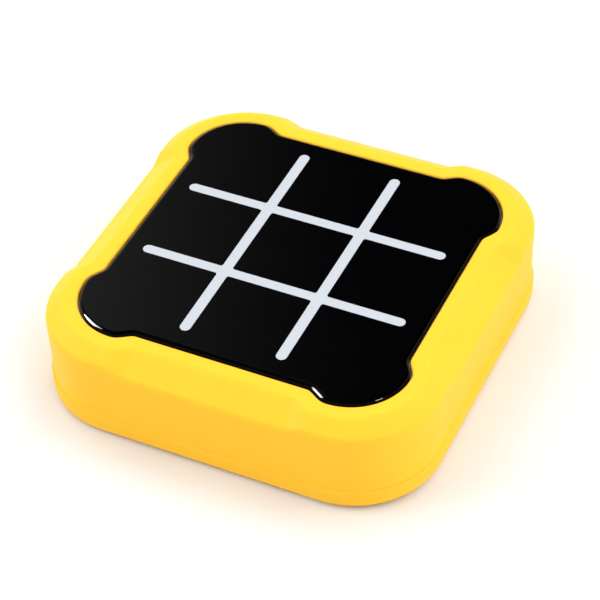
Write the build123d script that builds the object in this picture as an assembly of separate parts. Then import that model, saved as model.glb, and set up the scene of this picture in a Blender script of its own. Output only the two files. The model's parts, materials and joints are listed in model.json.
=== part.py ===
"""Hand-held electronic tic tac toe game: a square yellow case with one large press-down play panel.

The frame is +Z up, +X to the right and -Y towards the player, with the origin on the table
under the middle of the case. All sizes are millimetres. The smoked play panel floats in a lobed
opening, on nine rubber keys that close contacts on the main board. Three AAA cells lie behind a
door in the underside, and two buttons work switches on the board through the rear wall.
"""

from build123d import *
import math
import os

# ---- driving dimensions -------------------------------------------------------------------------
# Case
HALF = 50.0  # half the width of the bottom cover, the widest part of the case
CORNER_R = 21.7  # plan radius of the case corners
UNDERSIDE_Z = 0.6  # underside of the bottom cover: the rubber feet lift it by this much
PLATE_TOP = 3.0  # inner face of the bottom cover's floor
SPLIT_Z = 5.7  # parting line between the bottom cover and the top housing
RING_Z = 25.6  # flat ring round the panel opening
WALL = 2.0
CASE_STEP = 0.6  # the bottom cover stands this far proud of the housing at the parting line
WALL_LEAN = 0.3  # the housing wall is this much wider at the ring than at the parting line
BASE_EDGE_R = 1.5
COVER_LIP_R = 0.4  # round along the ledge that the cover makes at the parting line
LIP_HALF = 47.2  # the cover's lip reaches up inside the housing
LIP_THICK = 0.9
LIP_TOP = 7.2
RING_WIDTH = 3.6  # flat ring from the opening to the start of the slope
SLOPE_RUN = 7.0  # how far out the sloped band reaches
SLOPE_ANGLE = 36.0  # fall of the sloped band below the horizontal
SLOPE_SKIN = 2.2  # thickness of the sloped band, measured upright
RING_EDGE_R = 1.2
RIDGE_R = 1.5
OPENING_EDGE_R = 0.4
JOIN = 1.0  # how deep a rib, post or hook is sunk into the wall that it grows from

# Play panel
PANEL_Z = 26.1
PANEL_THICK = 2.4
PANEL_SIDE = 39.2  # half width of the panel between its corner lobes
PANEL_LOBE = 41.55  # half width of the panel across its corner lobes
LOBE_CENTRE = 27.5  # x and y of a lobe's centre
FLANK_ANGLE = 32.0  # slope of the flank between a side and a lobe
FLANK_INNER_R = 3.2
FLANK_OUTER_R = 4.0
FLANK_MIN_R = 0.6
PANEL_GAP = 0.45  # clearance round the panel
PANEL_EDGE_R = 1.0
PRESS_TRAVEL = 0.8
PITCH = 24.64  # spacing of the nine cells
GRID_LINE = 2.66  # width of a printed grid line
GRID_REACH = 34.2  # half length of a grid line
GRID_DEPTH = 0.4
GRID_FILLET = 0.6
TRAY_THICK = 1.4
TRAY_REACH = 1.5  # how far the tray reaches past the panel's edge, under the ring
TRAY_GAP = 0.5
TRAY_HEADROOM = 0.1
WINDOW_HALF = 8.0
WINDOW_R = 1.0
TRAY_TOP = PANEL_Z - PANEL_THICK
TRAY_BASE = TRAY_TOP - TRAY_THICK

# Main board, keys and lights
BOARD_BASE = 14.5
BOARD_THICK = 1.6
BOARD_TOP = BOARD_BASE + BOARD_THICK
BOARD_HALF = 42.0
BOARD_CORNER = 9.0  # chamfer that clears the case screw bosses
EAR_HALF = 3.5
EAR_REACH = 47.0
BOARD_SCREW_AT = 44.6  # distance of the four board screws from the centre
SHEET_THICK = 1.0
SHEET_HALF = 40.5
KEY_FOOT_HALF = 9.75
KEY_TOP_HALF = 8.9
KEY_CORNER_R = 2.0
KEY_TOP = TRAY_BASE - 0.1
KEY_CAVITY_R = 5.6
KEY_CAVITY_H = 1.45
KEY_WELL_R = 3.6  # the deeper well over each light
KEY_WELL_H = 2.2
PILL_INNER_R, PILL_OUTER_R = 3.8, 5.0
PILL_BASE = BOARD_TOP + 0.95
PILL_THICK = 0.5
PAD_INNER_R, PAD_OUTER_R = 3.7, 5.2
PAD_THICK = 0.08
LIGHT_HALF = 2.5
LIGHT_HEIGHT = 1.0
LENS_R = 1.9
LENS_DEPTH = 0.25

# Chip and resistors under the board
CHIP_X, CHIP_Y = -34.0, -9.0
CHIP_HALF_X, CHIP_HALF_Y = 3.0, 5.0
CHIP_LOW, CHIP_HIGH = BOARD_BASE - 1.7, BOARD_BASE - 0.1
LEG_COUNT = 7
LEG_STEP = 1.3
LEG_HALF = 0.2
LEG_REACH = 0.9  # how far a leg sticks out past the chip's side
LEG_HEIGHT = 0.5
RESISTOR_COUNT = 6
RESISTOR_STEP = 2.6
RESISTOR_X, RESISTOR_FIRST_Y = -34.4, 2.8
RESISTOR_HALF_X, RESISTOR_HALF_Y = 1.6, 0.8
RESISTOR_HEIGHT = 0.6

# Screws
CASE_SCREW_AT = 40.45  # x and y of the four case screws
CASE_SCREW_TIP = 15.5
BOARD_SCREW_TIP = 19.5
BOSS_R = 2.8
BOSS_BASE = 7.5
COLUMN_R = 3.6
COLUMN_TOP = 7.3
SCREW_CORE_R = 0.95
PILOT_R = 1.05
PILOT_SPARE = 0.5  # a pilot hole is this much deeper than its screw
CLEARANCE_R = 1.2
SCREW_HEAD_R = 2.2
SCREW_HEAD_H = 1.7
RECESS_R = 2.5
RECESS_TOP = 3.4
CROSS_LONG, CROSS_WIDE, CROSS_DEEP = 2.4, 0.6, 0.8

# Feet
FOOT_X, FOOT_Y, FOOT_R = 31.0, 41.0, 4.4
FOOT_POCKET_TOP = 1.4
FOOT_POCKET_GAP = 0.1
FOOT_EDGE_R = 0.4

# Battery bay
CELL_R = 5.25  # AAA cell
CELL_LENGTH = 44.5
CELL_NUB_R = 1.9
CELL_NUB = 1.0
CELL_EDGE_R = 0.4
CELL_PITCH = 10.8
CELL_AXIS_Z = 7.4
BAY_Y = -6.0
BAY_HALF_X = 24.75
BAY_HALF_Y = 16.3
BAY_WALL = 1.3
BAY_ROOF = 12.9
BAY_TOP = 13.9
TAB_SLIT_HALF_Y, TAB_SLIT_HALF_Z = 1.3, 0.8
CONTACT_THICK = 0.4
CONTACT_HALF = 4.2
TAB_OUT_X = 28.4  # outer end of the solder tab that passes through the bay wall
TAB_OUT_HALF = 1.1
SPRING_COIL_R = 2.8
SPRING_WIRE_R = 0.3
SPRING_LENGTH = 1.5
SPRING_TURNS = 2
SPRING_SINK = 0.05  # how far the coil's first turn is sunk into its plate

# Battery door
DOOR_HALF_X = 26.0
DOOR_FRONT_Y = -26.8
DOOR_BACK_Y = 18.5
DOOR_GAP = 0.2
DOOR_TOP = 1.9
DOOR_RECESS_TOP = 2.0
DOOR_CORNER_R = 2.0
HOOK_X, HOOK_HALF = 15.0, 2.5
NOTCH_HALF = 2.9
NOTCH_FRONT_Y, NOTCH_BACK_Y = -26.7, -22.9
HOOK_INNER_R, HOOK_OUTER_R = 2.9, 3.7  # about the door's lower front edge, on which it swings
HOOK_REACH = 1.4  # how far a hook reaches over the cover's floor
DOOR_SCREW_Y = 15.2
DOOR_SCREW_TIP = 5.9
DOOR_SCREW_SEAT = 1.9
DOOR_SCREW_HEAD_H = 1.1
DOOR_SCREW_HEAD_R = 2.0
DOOR_SCREW_CORE_R = 0.85
DOOR_PILOT_R = 1.2
CUP_R, CUP_TOP = 3.0, 3.2
CUP_HOLE_R, CUP_HOLE_TOP = 3.4, 3.5
CUP_RECESS_R = 2.3
TURRET_R, TURRET_TOP = 5.0, 6.8

# Speaker
SPEAKER_Y = 32.0
SPEAKER_R = 10.0
SPEAKER_TOP = 6.2
MAGNET_R, MAGNET_TOP = 5.0, 8.2
TERMINAL_X0, TERMINAL_X1 = -7.2, -5.6
TERMINAL_HALF_Y, TERMINAL_TOP = 3.2, 8.8
HOLDER_INNER_R, HOLDER_OUTER_R = 10.2, 11.6
CLAMP_INNER_R = 8.6
CLAMP_TOP = 7.2
GRILLE_HOLE_R = 0.8
GRILLE_STEP = 2.8
GRILLE_RINGS = 3

# Rear buttons and their switches
BUTTON_X = 12.0
BUTTON_Z = 12.1
BUTTON_WIDTH, BUTTON_HEIGHT = 11.0, 5.0
BUTTON_GAP = 0.25
BUTTON_FRONT_Y = 50.0
BUTTON_BACK_Y = 46.0
BUTTON_EDGE_R = 0.3
BUTTON_END_R = 2.4
FLANGE_Y0, FLANGE_Y1 = 46.0, 47.1
FLANGE_MARGIN = 1.0
STEM_HALF = 1.5
STEM_TIP_Y = 44.2
SWITCH_BACK_Y, SWITCH_FRONT_Y = 36.2, 42.2
SWITCH_HALF = 3.0
SWITCH_BASE = 9.7
PLUNGER_R = 1.1
PLUNGER_BORE_R = 1.3
PLUNGER_BACK_Y, PLUNGER_TIP_Y = 40.2, 44.1
PLUNGER_BORE_Y = 39.4

# Internal leads
LEAD_R = 0.45
TAB_Z = 6.8  # height of the solder tabs that the battery leads lie on
LEAD_ON_TAB = 1.6
BATTERY_LEAD_X = 36.0
SPEAKER_LEAD_X = -16.0
SPEAKER_LEAD_Z = 7.8
SPEAKER_LEAD_HALF_GAP = 1.6

CELLS = [(column * PITCH, row * PITCH) for row in (1, 0, -1) for column in (-1, 0, 1)]
CORNERS = [(1, 1), (-1, 1), (-1, -1), (1, -1)]
SIDES = [(1, 0), (0, 1), (-1, 0), (0, -1)]
BATTERY_ROWS = [BAY_Y + row * CELL_PITCH for row in (-1, 0, 1)]


# ---- helpers ------------------------------------------------------------------------------------
def prism(sketch, low, high):
    """The sketch, pulled up from one height to another."""
    return extrude(Pos(0, 0, low) * sketch, amount=high - low)


def square(half, radius):
    """A rounded square in plan."""
    return RectangleRounded(2 * half, 2 * half, radius)


def post(x, y, radius, low, high):
    """An upright cylinder."""
    return prism(Pos(x, y) * Circle(radius), low, high)


def block(x0, x1, y0, y1, z0, z1):
    """A box from its lowest to its highest corner."""
    return Pos((x0 + x1) / 2, (y0 + y1) / 2, (z0 + z1) / 2) * Box(x1 - x0, y1 - y0, z1 - z0)


def along_y(x, z, sketch, y0, y1):
    """A sketch drawn in the XZ plane about (x, z), pulled out along +Y."""
    plane = Plane(origin=(x, y0, z), x_dir=(-1, 0, 0), z_dir=(0, 1, 0))
    return extrude(plane * sketch, amount=y1 - y0)


def lobed_outline(grow=0.0):
    """The panel's plan outline, grown outwards: straight sides, and a round lobe at each corner.

    Each side joins its lobes by a small hollow arc, a straight flank and a small round arc.
    """
    side, lobe = PANEL_SIDE + grow, PANEL_LOBE + grow
    inner_r = max(FLANK_INNER_R - grow, FLANK_MIN_R)
    outer_r = FLANK_OUTER_R + grow
    angle = math.radians(FLANK_ANGLE)
    flank = (lobe - side - (inner_r + outer_r) * (1 - math.cos(angle))) / math.sin(angle)
    start = LOBE_CENTRE - (inner_r + outer_r) * math.sin(angle) - flank * math.cos(angle)

    def hollow(turn):
        return (side + inner_r * (1 - math.cos(turn)), start + inner_r * math.sin(turn))

    def rounded(turn):
        return (lobe - outer_r * (1 - math.cos(turn)), LOBE_CENTRE - outer_r * math.sin(turn))

    def swap(point):
        return (point[1], point[0])

    diagonal = LOBE_CENTRE + (lobe - LOBE_CENTRE) / math.sqrt(2)
    quarter = [
        Line((side, -start), (side, start)),
        ThreePointArc(hollow(0), hollow(angle / 2), hollow(angle)),
        Line(hollow(angle), rounded(angle)),
        ThreePointArc(rounded(angle), rounded(angle / 2), rounded(0)),
        ThreePointArc(rounded(0), (diagonal, diagonal), swap(rounded(0))),
        ThreePointArc(swap(rounded(0)), swap(rounded(angle / 2)), swap(rounded(angle))),
        Line(swap(rounded(angle)), swap(hollow(angle))),
        ThreePointArc(swap(hollow(angle)), swap(hollow(angle / 2)), swap(hollow(0))),
    ]
    edges = [Rot(0, 0, 90 * turn) * edge for turn in range(4) for edge in quarter]
    return make_face(Wire(edges))


def sloped_hood(drop=0.0):
    """Everything under the ring and its sloped band, lowered by drop."""
    top_grow = PANEL_GAP + RING_WIDTH
    fall = SLOPE_RUN * math.tan(math.radians(SLOPE_ANGLE))
    top_z = RING_Z - drop
    upper = Pos(0, 0, top_z) * lobed_outline(top_grow)
    lower = Pos(0, 0, top_z - fall) * lobed_outline(top_grow + SLOPE_RUN)
    band = loft([lower, upper], ruled=True)
    wide = 4 * HALF
    return band + prism(Rectangle(wide, wide), 0, top_z - fall)


def screw(x, y, seat, tip, core_r=SCREW_CORE_R, head_r=SCREW_HEAD_R, head_h=SCREW_HEAD_H):
    """A cross-head screw put in from below: its head hangs under the seat."""
    base = seat - head_h
    shape = post(x, y, core_r, seat, tip) + post(x, y, head_r, base, seat)
    for turn in (0, 90):
        cross = Box(CROSS_LONG, CROSS_WIDE, 2 * CROSS_DEEP)
        shape -= Pos(x, y, base) * Rot(0, 0, turn) * cross
    return shape


def lead(points):
    """A held wire: straight runs through the points, joined by arcs as wide as the runs allow."""
    radii = []
    for before, here, after in zip(points, points[1:], points[2:]):
        into = Vector(*here) - Vector(*before)
        out = Vector(*after) - Vector(*here)
        half_turn = math.radians(into.get_angle(out)) / 2
        radii.append(0.45 * min(into.length, out.length) / math.tan(half_turn))
    route = FilletPolyline(*points, radius=radii)
    print("lead radii", [round(radius, 2) for radius in radii])
    direction = Vector(*points[1]) - Vector(*points[0])
    return sweep(Plane(origin=points[0], z_dir=direction) * Circle(LEAD_R), path=route)


def save(name, *solids):
    """Writes one node, of one solid or of several that stay separate."""
    shape = solids[0] if len(solids) == 1 else Compound(children=list(solids))
    shape.label = name
    export_step(shape, f"parts/{name}.step")


# ---- case ---------------------------------------------------------------------------------------
def make_top_housing():
    foot_half, foot_r = HALF - CASE_STEP, CORNER_R - CASE_STEP
    low = Pos(0, 0, SPLIT_Z) * square(foot_half, foot_r)
    high = Pos(0, 0, RING_Z) * square(foot_half + WALL_LEAN, foot_r + WALL_LEAN)
    shell = loft([low, high], ruled=True) & sloped_hood()
    top = shell.faces().sort_by(Axis.Z)[-1]
    shell = fillet(top.outer_wire().edges(), RING_EDGE_R)
    shell = fillet([edge for edge in shell.edges() if on_ridge(edge)], RIDGE_R)
    opening = lobed_outline(PANEL_GAP)
    shell -= prism(opening, RING_Z - SLOPE_SKIN, PANEL_Z)
    top = shell.faces().filter_by(Plane.XY).sort_by(Axis.Z)[-1]
    shell = fillet(top.inner_wires()[0].edges(), OPENING_EDGE_R)

    cavity = prism(square(foot_half - WALL, foot_r - WALL), SPLIT_Z, RING_Z)
    cavity &= sloped_hood(SLOPE_SKIN)
    for x, y in CORNERS:
        cavity -= post(x * CASE_SCREW_AT, y * CASE_SCREW_AT, BOSS_R, BOSS_BASE, RING_Z)
    for x, y in SIDES:
        cavity -= post(x * BOARD_SCREW_AT, y * BOARD_SCREW_AT, BOSS_R, BOARD_TOP, RING_Z)
    shell -= cavity
    tray_space = lobed_outline(TRAY_REACH + TRAY_GAP)
    shell -= prism(tray_space, TRAY_BASE - PRESS_TRAVEL - TRAY_GAP, TRAY_TOP + TRAY_HEADROOM)
    for x, y in CORNERS:
        tip = CASE_SCREW_TIP + PILOT_SPARE
        shell -= post(x * CASE_SCREW_AT, y * CASE_SCREW_AT, PILOT_R, BOSS_BASE, tip)
    for x, y in SIDES:
        tip = BOARD_SCREW_TIP + PILOT_SPARE
        shell -= post(x * BOARD_SCREW_AT, y * BOARD_SCREW_AT, PILOT_R, BOARD_TOP, tip)
    slot = RectangleRounded(
        BUTTON_WIDTH + 2 * BUTTON_GAP, BUTTON_HEIGHT + 2 * BUTTON_GAP, BUTTON_HEIGHT / 2
    )
    for x in (-BUTTON_X, BUTTON_X):
        shell -= along_y(x, BUTTON_Z, slot, FLANGE_Y1, HALF)
    return shell


def on_ridge(edge):
    """Whether an edge lies where the sloped band meets the upright wall.

    Its middle is on the wall or far out in a corner, below the ring and above the parting line,
    and it doesn't stand upright.
    """
    middle = edge @ 0.5
    near, far = sorted((abs(middle.X), abs(middle.Y)))
    on_wall = far > HALF - CASE_STEP - WALL_LEAN or near > CASE_SCREW_AT
    between = SPLIT_Z + LIP_THICK < middle.Z < RING_Z - RING_EDGE_R
    upright = 0.8
    return on_wall and between and abs((edge % 0.5).Z) < upright


def make_bottom_cover():
    body = prism(square(HALF, CORNER_R), UNDERSIDE_Z, SPLIT_Z)
    body = fillet(body.faces().sort_by(Axis.Z)[0].edges(), BASE_EDGE_R)
    body = fillet(body.faces().sort_by(Axis.Z)[-1].edges(), COVER_LIP_R)
    lip = square(LIP_HALF, CORNER_R - HALF + LIP_HALF)
    inner_half = LIP_HALF - LIP_THICK
    inner = square(inner_half, CORNER_R - HALF + inner_half)
    body += prism(lip, SPLIT_Z - JOIN, LIP_TOP)
    body -= prism(inner, PLATE_TOP, LIP_TOP)
    root = PLATE_TOP - JOIN
    lip_space = prism(lip, root, BAY_TOP)
    for x, y in CORNERS:
        column = post(x * CASE_SCREW_AT, y * CASE_SCREW_AT, COLUMN_R, root, COLUMN_TOP)
        body += column & lip_space
    body += battery_bay()
    body += post(0, DOOR_SCREW_Y, TURRET_R, root, TURRET_TOP)
    holder = Circle(HOLDER_OUTER_R) - Circle(HOLDER_INNER_R)
    body += prism(Pos(0, SPEAKER_Y) * holder, root, SPEAKER_TOP)

    for x, y in CORNERS:
        body -= post(x * CASE_SCREW_AT, y * CASE_SCREW_AT, RECESS_R, UNDERSIDE_Z, RECESS_TOP)
        body -= post(x * CASE_SCREW_AT, y * CASE_SCREW_AT, CLEARANCE_R, RECESS_TOP, COLUMN_TOP)
        pocket_r = FOOT_R + FOOT_POCKET_GAP
        body -= post(x * FOOT_X, y * FOOT_Y, pocket_r, UNDERSIDE_Z, FOOT_POCKET_TOP)
    body -= door_space()
    for x, y in grille_holes():
        body -= post(x, y, GRILLE_HOLE_R, UNDERSIDE_Z, PLATE_TOP)
    return body


def battery_bay():
    """Four walls and a roof over the cells, with slits for the solder tabs."""
    out_x, out_y = BAY_HALF_X + BAY_WALL, BAY_HALF_Y + BAY_WALL
    bay = block(-out_x, out_x, BAY_Y - out_y, BAY_Y + out_y, PLATE_TOP - JOIN, BAY_TOP)
    bay -= block(-BAY_HALF_X, BAY_HALF_X, BAY_Y - BAY_HALF_Y, BAY_Y + BAY_HALF_Y, 0, BAY_ROOF)
    for y in (BATTERY_ROWS[0], BATTERY_ROWS[2]):
        bay -= block(
            BAY_HALF_X, out_x, y - TAB_SLIT_HALF_Y, y + TAB_SLIT_HALF_Y,
            TAB_Z - TAB_SLIT_HALF_Z, TAB_Z + TAB_SLIT_HALF_Z,
        )
    return bay


def door_space():
    """The door's recess, the bay's mouth, the hook notches and the screw cup's hole."""
    gap = DOOR_GAP
    space = prism(door_outline(gap), UNDERSIDE_Z, DOOR_RECESS_TOP)
    space += block(
        -BAY_HALF_X, BAY_HALF_X, BAY_Y - BAY_HALF_Y, BAY_Y + BAY_HALF_Y, UNDERSIDE_Z, PLATE_TOP
    )
    for x in (-HOOK_X, HOOK_X):
        space += block(
            x - NOTCH_HALF, x + NOTCH_HALF, NOTCH_FRONT_Y, NOTCH_BACK_Y, UNDERSIDE_Z, PLATE_TOP
        )
    space += post(0, DOOR_SCREW_Y, CUP_HOLE_R, UNDERSIDE_Z, CUP_HOLE_TOP)
    space += post(0, DOOR_SCREW_Y, DOOR_PILOT_R, UNDERSIDE_Z, DOOR_SCREW_TIP + PILOT_SPARE)
    return space


def door_outline(grow=0.0):
    """The battery door in plan, grown outwards."""
    length = DOOR_BACK_Y - DOOR_FRONT_Y
    middle = (DOOR_BACK_Y + DOOR_FRONT_Y) / 2
    door = RectangleRounded(2 * (DOOR_HALF_X + grow), length + 2 * grow, DOOR_CORNER_R + grow)
    return Pos(0, middle) * door


def grille_holes():
    """Hole centres under the speaker: one in the middle, then rings of six, twelve and so on."""
    holes = [(0, SPEAKER_Y)]
    for ring in range(1, GRILLE_RINGS + 1):
        for index in range(6 * ring):
            angle = 2 * math.pi * index / (6 * ring)
            reach = ring * GRILLE_STEP
            holes.append((reach * math.cos(angle), SPEAKER_Y + reach * math.sin(angle)))
    return holes


def make_battery_door():
    door = prism(door_outline(), UNDERSIDE_Z, DOOR_TOP)
    door += post(0, DOOR_SCREW_Y, CUP_R, DOOR_TOP - JOIN, CUP_TOP)
    door -= post(0, DOOR_SCREW_Y, CUP_RECESS_R, UNDERSIDE_Z, DOOR_SCREW_SEAT)
    door -= post(0, DOOR_SCREW_Y, SCREW_CORE_R, DOOR_SCREW_SEAT, CUP_TOP)
    for x in (-HOOK_X, HOOK_X):
        door += door_hook(x)
    return door


def door_hook(x):
    """A hook curved about the door's swing axis, from the door up and over the cover's floor."""
    plane = Plane(origin=(x - HOOK_HALF, DOOR_FRONT_Y, UNDERSIDE_Z), x_dir=(0, 1, 0), z_dir=(1, 0, 0))
    ring = extrude(plane * (Circle(HOOK_OUTER_R) - Circle(HOOK_INNER_R)), amount=2 * HOOK_HALF)
    front, back = DOOR_FRONT_Y - HOOK_REACH, DOOR_FRONT_Y + HOOK_OUTER_R
    top = UNDERSIDE_Z + HOOK_OUTER_R
    return ring & block(x - HOOK_HALF, x + HOOK_HALF, front, back, DOOR_TOP - JOIN, top)


def make_feet():
    feet = []
    for x, y in CORNERS:
        foot = post(x * FOOT_X, y * FOOT_Y, FOOT_R, 0, FOOT_POCKET_TOP)
        feet.append(fillet(foot.faces().sort_by(Axis.Z)[0].edges(), FOOT_EDGE_R))
    return feet


# ---- play panel ---------------------------------------------------------------------------------
def at_crossing(value, inner, outer):
    """Whether a coordinate is that of a grid line's inner or outer side."""
    tolerance = 0.01
    return min(abs(abs(value) - inner), abs(abs(value) - outer)) < tolerance


def grid_sketch():
    """The double cross: two upright and two level lines with round ends and filleted crossings."""
    line = SlotOverall(2 * GRID_REACH, GRID_LINE)
    cross = Sketch()
    for offset in (-PITCH / 2, PITCH / 2):
        cross += Pos(0, offset) * line
        cross += Pos(offset, 0) * Rot(0, 0, 90) * line
    inner = PITCH / 2 - GRID_LINE / 2
    outer = PITCH / 2 + GRID_LINE / 2
    corners = [
        vertex
        for vertex in cross.vertices()
        if at_crossing(vertex.X, inner, outer) and at_crossing(vertex.Y, inner, outer)
    ]
    return fillet(corners, GRID_FILLET)


def make_play_panel():
    panel = prism(lobed_outline(), TRAY_TOP, PANEL_Z)
    panel = fillet(panel.faces().sort_by(Axis.Z)[-1].edges(), PANEL_EDGE_R)
    return panel - make_grid_lines()


def make_grid_lines():
    return prism(grid_sketch(), PANEL_Z - GRID_DEPTH, PANEL_Z)


def make_panel_tray():
    """White carrier under the panel, with a light window over each key."""
    tray = prism(lobed_outline(TRAY_REACH), TRAY_BASE, TRAY_TOP)
    for x, y in CELLS:
        tray -= prism(Pos(x, y) * square(WINDOW_HALF, WINDOW_R), TRAY_BASE, TRAY_TOP)
    return tray


# ---- keys, board and lights ---------------------------------------------------------------------
def make_key_sheet():
    """Translucent rubber sheet with nine tapered keys, each hollow over its light and contact."""
    sheet_top = BOARD_TOP + SHEET_THICK
    sheet = prism(square(SHEET_HALF, BOARD_CORNER), BOARD_TOP, sheet_top)
    foot = Pos(0, 0, sheet_top) * square(KEY_FOOT_HALF, KEY_CORNER_R)
    top = Pos(0, 0, KEY_TOP) * square(KEY_TOP_HALF, KEY_CORNER_R)
    key = loft([foot, top], ruled=True)
    for x, y in CELLS:
        sheet += Pos(x, y) * key
        sheet -= post(x, y, KEY_CAVITY_R, BOARD_TOP, BOARD_TOP + KEY_CAVITY_H)
        sheet -= post(x, y, KEY_WELL_R, BOARD_TOP, BOARD_TOP + KEY_WELL_H)
    return sheet


def ring_at(x, y, inner_r, outer_r, low, high):
    """A flat ring."""
    return post(x, y, outer_r, low, high) - post(x, y, inner_r, low, high)


def make_key_pills():
    top = PILL_BASE + PILL_THICK
    return [ring_at(x, y, PILL_INNER_R, PILL_OUTER_R, PILL_BASE, top) for x, y in CELLS]


def make_contact_pads():
    top = BOARD_TOP + PAD_THICK
    return [ring_at(x, y, PAD_INNER_R, PAD_OUTER_R, BOARD_TOP, top) for x, y in CELLS]


def make_lights():
    lights = []
    for x, y in CELLS:
        top = BOARD_TOP + LIGHT_HEIGHT
        light = block(x - LIGHT_HALF, x + LIGHT_HALF, y - LIGHT_HALF, y + LIGHT_HALF, BOARD_TOP, top)
        lights.append(light - post(x, y, LENS_R, top - LENS_DEPTH, top))
    return lights


def make_main_board():
    outline = Rectangle(2 * BOARD_HALF, 2 * BOARD_HALF)
    outline = chamfer(outline.vertices(), BOARD_CORNER)
    board = prism(outline, BOARD_BASE, BOARD_TOP)
    board += block(-EAR_REACH, EAR_REACH, -EAR_HALF, EAR_HALF, BOARD_BASE, BOARD_TOP)
    board += block(-EAR_HALF, EAR_HALF, -EAR_REACH, EAR_REACH, BOARD_BASE, BOARD_TOP)
    for x, y in SIDES:
        board -= post(x * BOARD_SCREW_AT, y * BOARD_SCREW_AT, CLEARANCE_R, BOARD_BASE, BOARD_TOP)
    return board


def make_game_chip():
    """The chip under the board, with its two rows of legs."""
    x0, x1 = CHIP_X - CHIP_HALF_X, CHIP_X + CHIP_HALF_X
    chip = block(x0, x1, CHIP_Y - CHIP_HALF_Y, CHIP_Y + CHIP_HALF_Y, CHIP_LOW, CHIP_HIGH)
    leg_base = BOARD_BASE - LEG_HEIGHT
    for index in range(LEG_COUNT):
        y = CHIP_Y + LEG_STEP * (index - (LEG_COUNT - 1) / 2)
        leg_x0, leg_x1 = x0 - LEG_REACH, x1 + LEG_REACH
        chip += block(leg_x0, leg_x1, y - LEG_HALF, y + LEG_HALF, leg_base, BOARD_BASE)
    return chip


def make_resistors():
    """Small resistors in a row under the board, by the chip."""
    x0, x1 = RESISTOR_X - RESISTOR_HALF_X, RESISTOR_X + RESISTOR_HALF_X
    low = BOARD_BASE - RESISTOR_HEIGHT
    resistors = []
    for index in range(RESISTOR_COUNT):
        y = RESISTOR_FIRST_Y + RESISTOR_STEP * index
        y0, y1 = y - RESISTOR_HALF_Y, y + RESISTOR_HALF_Y
        resistors.append(block(x0, x1, y0, y1, low, BOARD_BASE))
    return resistors


# ---- rear buttons -------------------------------------------------------------------------------
def make_button(x):
    cap = RectangleRounded(BUTTON_WIDTH, BUTTON_HEIGHT, BUTTON_END_R)
    button = along_y(x, BUTTON_Z, cap, BUTTON_BACK_Y, BUTTON_FRONT_Y)
    button = fillet(button.faces().sort_by(Axis.Y)[-1].edges(), BUTTON_EDGE_R)
    flange = Rectangle(BUTTON_WIDTH + 2 * FLANGE_MARGIN, BUTTON_HEIGHT + 2 * FLANGE_MARGIN)
    button += along_y(x, BUTTON_Z, flange, FLANGE_Y0, FLANGE_Y1)
    button += along_y(x, BUTTON_Z, Rectangle(2 * STEM_HALF, 2 * STEM_HALF), STEM_TIP_Y, FLANGE_Y0)
    return button


def make_switch(x):
    switch = block(
        x - SWITCH_HALF, x + SWITCH_HALF, SWITCH_BACK_Y, SWITCH_FRONT_Y, SWITCH_BASE, BOARD_BASE
    )
    return switch - along_y(x, BUTTON_Z, Circle(PLUNGER_BORE_R), PLUNGER_BORE_Y, SWITCH_FRONT_Y)


def make_plunger(x):
    return along_y(x, BUTTON_Z, Circle(PLUNGER_R), PLUNGER_BACK_Y, PLUNGER_TIP_Y)


# ---- cells, contacts, speaker and leads ---------------------------------------------------------
def make_cell(index):
    """An AAA cell along X; neighbours lie in opposite directions."""
    facing = 1 if index % 2 == 0 else -1
    body = Cylinder(CELL_R, CELL_LENGTH - CELL_NUB)
    body = fillet(body.edges(), CELL_EDGE_R)
    nub = Pos(0, 0, CELL_LENGTH / 2) * Cylinder(CELL_NUB_R, 2 * CELL_NUB)
    cell = Pos(0, 0, -CELL_NUB / 2) * body + Pos(0, 0, -CELL_NUB) * nub
    return Pos(0, BATTERY_ROWS[index], CELL_AXIS_Z) * Rot(0, 90 * facing, 0) * cell


def contact_plate(side, y, tab):
    """A square plate on the bay's end wall; an outer row's plate has a solder tab on the +X side."""
    inner_x = side * (BAY_HALF_X - CONTACT_THICK)
    x0, x1 = sorted((inner_x, side * BAY_HALF_X))
    z0, z1 = CELL_AXIS_Z - CONTACT_HALF, CELL_AXIS_Z + CONTACT_HALF
    plate = block(x0, x1, y - CONTACT_HALF, y + CONTACT_HALF, z0, z1)
    if tab:
        thin = CONTACT_THICK / 2
        plate += block(
            x0, TAB_OUT_X, y - TAB_OUT_HALF, y + TAB_OUT_HALF, TAB_Z - thin, TAB_Z + thin
        )
    return plate


def make_flat_contacts():
    """Plates that the cells' nubs press on."""
    plates = []
    for index, y in enumerate(BATTERY_ROWS):
        facing = 1 if index % 2 == 0 else -1
        plates.append(contact_plate(facing, y, tab=index == 0))
    return plates


def make_spring_contacts():
    """Plates with a coil spring each, which the cells' flat ends press on."""
    contacts = []
    for index, y in enumerate(BATTERY_ROWS):
        facing = 1 if index % 2 == 0 else -1
        plate = contact_plate(-facing, y, tab=False)
        start = -facing * (BAY_HALF_X - CONTACT_THICK + SPRING_SINK)
        coil = Helix(SPRING_LENGTH / SPRING_TURNS, SPRING_LENGTH, SPRING_COIL_R)
        wire = sweep(Plane(origin=coil @ 0, z_dir=coil % 0) * Circle(SPRING_WIRE_R), path=coil)
        spring = Pos(start, y, CELL_AXIS_Z) * Rot(0, 90 * facing, 0) * wire
        contacts.append(plate + spring)
    return contacts


def make_speaker():
    speaker = post(0, SPEAKER_Y, SPEAKER_R, PLATE_TOP, SPEAKER_TOP)
    speaker += post(0, SPEAKER_Y, MAGNET_R, SPEAKER_TOP, MAGNET_TOP)
    y0, y1 = SPEAKER_Y - TERMINAL_HALF_Y, SPEAKER_Y + TERMINAL_HALF_Y
    return speaker + block(TERMINAL_X0, TERMINAL_X1, y0, y1, SPEAKER_TOP, TERMINAL_TOP)


def make_speaker_clamp():
    ring = Circle(HOLDER_OUTER_R) - Circle(CLAMP_INNER_R)
    return prism(Pos(0, SPEAKER_Y) * ring, SPEAKER_TOP, CLAMP_TOP)


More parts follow.
